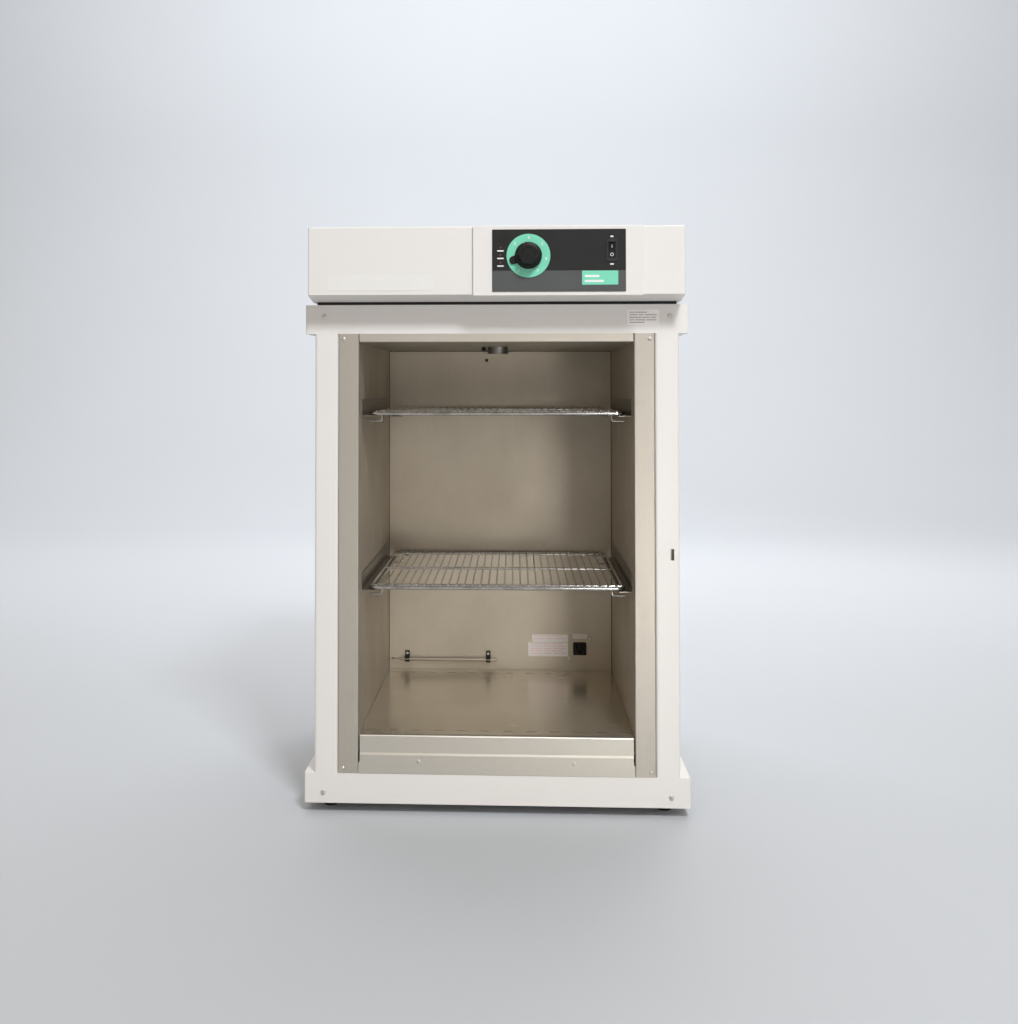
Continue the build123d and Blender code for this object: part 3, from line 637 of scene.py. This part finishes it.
def addRatingMarks():
    # rows of short bars, their lengths in millimetres
    rating = {"inset": 3 * mm, "top": 5.2 * mm, "pitch": 4.2 * mm, "height": 1.5 * mm, "gap": 1.6 * mm,
              "rows": ((9, 18), (14, 8, 20), (20, 12, 9), (8, 17, 16), (25,))}
    low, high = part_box("rating_label")
    shapes = []
    for row, lengths in enumerate(rating["rows"]):
        z = high[2] - rating["top"] - row * rating["pitch"]
        shapes += words(low[0] + rating["inset"], z, [length * mm for length in lengths],
                        rating["height"], rating["gap"])
    addPlates("ratingMarks", shapes, low[1], "greyInk")


def addBackWallMarks():
    # ruled lines on the labels inside; the parts and the gap are shares of a line
    ruled = {"inset": 4 * mm, "ragged": 6 * mm, "top": 3.6 * mm, "margin": 4 * mm, "height": 1.5 * mm,
             "pitch": 5.2 * mm, "small": 12 * mm, "parts": (0.34, 0.22, 0.36), "gap": 0.04}
    shapes = []
    for near, far in islands("back_wall_labels"):
        width, height = far.x - near.x, far.z - near.z
        count = 2 if height < ruled["small"] else int(height / ruled["pitch"])
        for row in range(count):
            reach = width - 2 * ruled["inset"] - (0 if row % 3 else ruled["ragged"])
            z = far.z - ruled["top"] - row * (height - ruled["margin"]) / count
            shapes += words(near.x + ruled["inset"], z, [reach * part for part in ruled["parts"]],
                            ruled["height"], reach * ruled["gap"])
    addPlates("backWallMarks", shapes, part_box("back_wall_labels")[0][1], "rosyInk")


def addRockerMarks():
    # I and O on the two tilted faces, which lie on either side of the ridge
    mark = {"tilt": 9, "ridge": 2.4, "half": 12.2, "depth": 4.5 * mm, "from": 6.6 * mm,
            "stroke": (0.9 * mm, 5.2 * mm), "outer": 2.7 * mm, "inner": 1.9 * mm, "sides": 24}
    low, high = [Vector(corner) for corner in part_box("rocker_button")]
    joint = next(one for one in frame["joints"] if one["name"] == "power_rocker_tilt")
    pivot = Vector(joint["pos_m"])
    lean = math.atan2(mark["ridge"], mark["half"])
    tilt = Matrix.Rotation(math.radians(mark["tilt"]), 4, "X")
    place = Matrix.Translation(((low.x + high.x) / 2, pivot.y, pivot.z)) @ tilt

    def onFace(way):
        spot = Matrix.Translation((0, -mark["depth"], way * mark["from"]))
        return place @ spot @ Matrix.Rotation(way * lean, 4, "X")

    work = bmesh.new()
    width, height = mark["stroke"]
    bmesh.ops.create_cube(work, size=1.0, matrix=onFace(1) @ Matrix.Diagonal((width, inkRise * 2, height, 1)))
    sides = mark["sides"]
    rings = []
    for reach, depth in ((mark["outer"], -inkRise), (mark["inner"], -inkRise),
                         (mark["inner"], inkRise), (mark["outer"], inkRise)):
        rings.append([work.verts.new((reach * math.cos(2 * math.pi * side / sides), depth,
                                      reach * math.sin(2 * math.pi * side / sides)))
                      for side in range(sides)])
    for ring, following in zip(rings, rings[1:] + rings[:1]):
        bridge(work, ring, following)
    bmesh.ops.transform(work, matrix=onFace(-1), verts=[vert for ring in rings for vert in ring])
    bmesh.ops.recalc_face_normals(work, faces=work.faces)
    addPiece("rockerMarks", meshFrom(work, "rockerMarks"), "whiteInk", "rocker_body")


def addKnobPointer():
    # white line on the knob's skirt, at the set temperature
    pointer = {"angle": 111, "size": (5.2 * mm, 0.5 * mm, 1.5 * mm), "inset": 2.4 * mm, "back": 3.05 * mm}
    low, high = [Vector(corner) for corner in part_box("temperature_knob")]
    reach = (high.x - low.x) / 2 - pointer["inset"]
    place = Matrix.Translation((dialCentre.x, high.y - pointer["back"], dialCentre.z))
    place = place @ Matrix.Rotation(-math.radians(pointer["angle"]), 4, "Y") @ Matrix.Translation((reach, 0, 0))
    work = bmesh.new()
    bmesh.ops.create_cube(work, size=1.0, matrix=place @ Matrix.Diagonal((*pointer["size"], 1)))
    addPiece("knobPointer", meshFrom(work, "knobPointer"), "whiteInk", "knob_body")


addDialNumbers()
addPanelMarks()
addAccentMarks()
addRatingMarks()
addBackWallMarks()
addRockerMarks()
addKnobPointer()
print("dial numbers and printed marks made")


# ---- floor, sweeping up behind into a plain backdrop
sweep = {"half": 9.0, "front": -9.0, "bend": 3.6, "radius": 2.4, "top": 8.0, "steps": 24}
outline = [(sweep["front"], 0.0)]
for step in range(sweep["steps"] + 1):
    angle = math.pi / 2 * step / sweep["steps"]
    outline.append((sweep["bend"] + sweep["radius"] * math.sin(angle), sweep["radius"] * (1 - math.cos(angle))))
outline.append((sweep["bend"] + sweep["radius"], sweep["top"]))
corners, sheets = [], []
for y, z in outline:
    corners += [(-sweep["half"], y, z), (sweep["half"], y, z)]
for index in range(len(outline) - 1):
    first = 2 * index
    sheets.append((first, first + 1, first + 3, first + 2))
floorMesh = bpy.data.meshes.new("floor")
floorMesh.from_pydata(corners, [], sheets)
floorMesh.materials.append(finishes["floor"])
for face in floorMesh.polygons:
    face.use_smooth = True
floor = bpy.data.objects.new("floor", floorMesh)
bpy.context.collection.objects.link(floor)

for node in nodes.values():
    for face in node.data.polygons:
        face.use_smooth = False
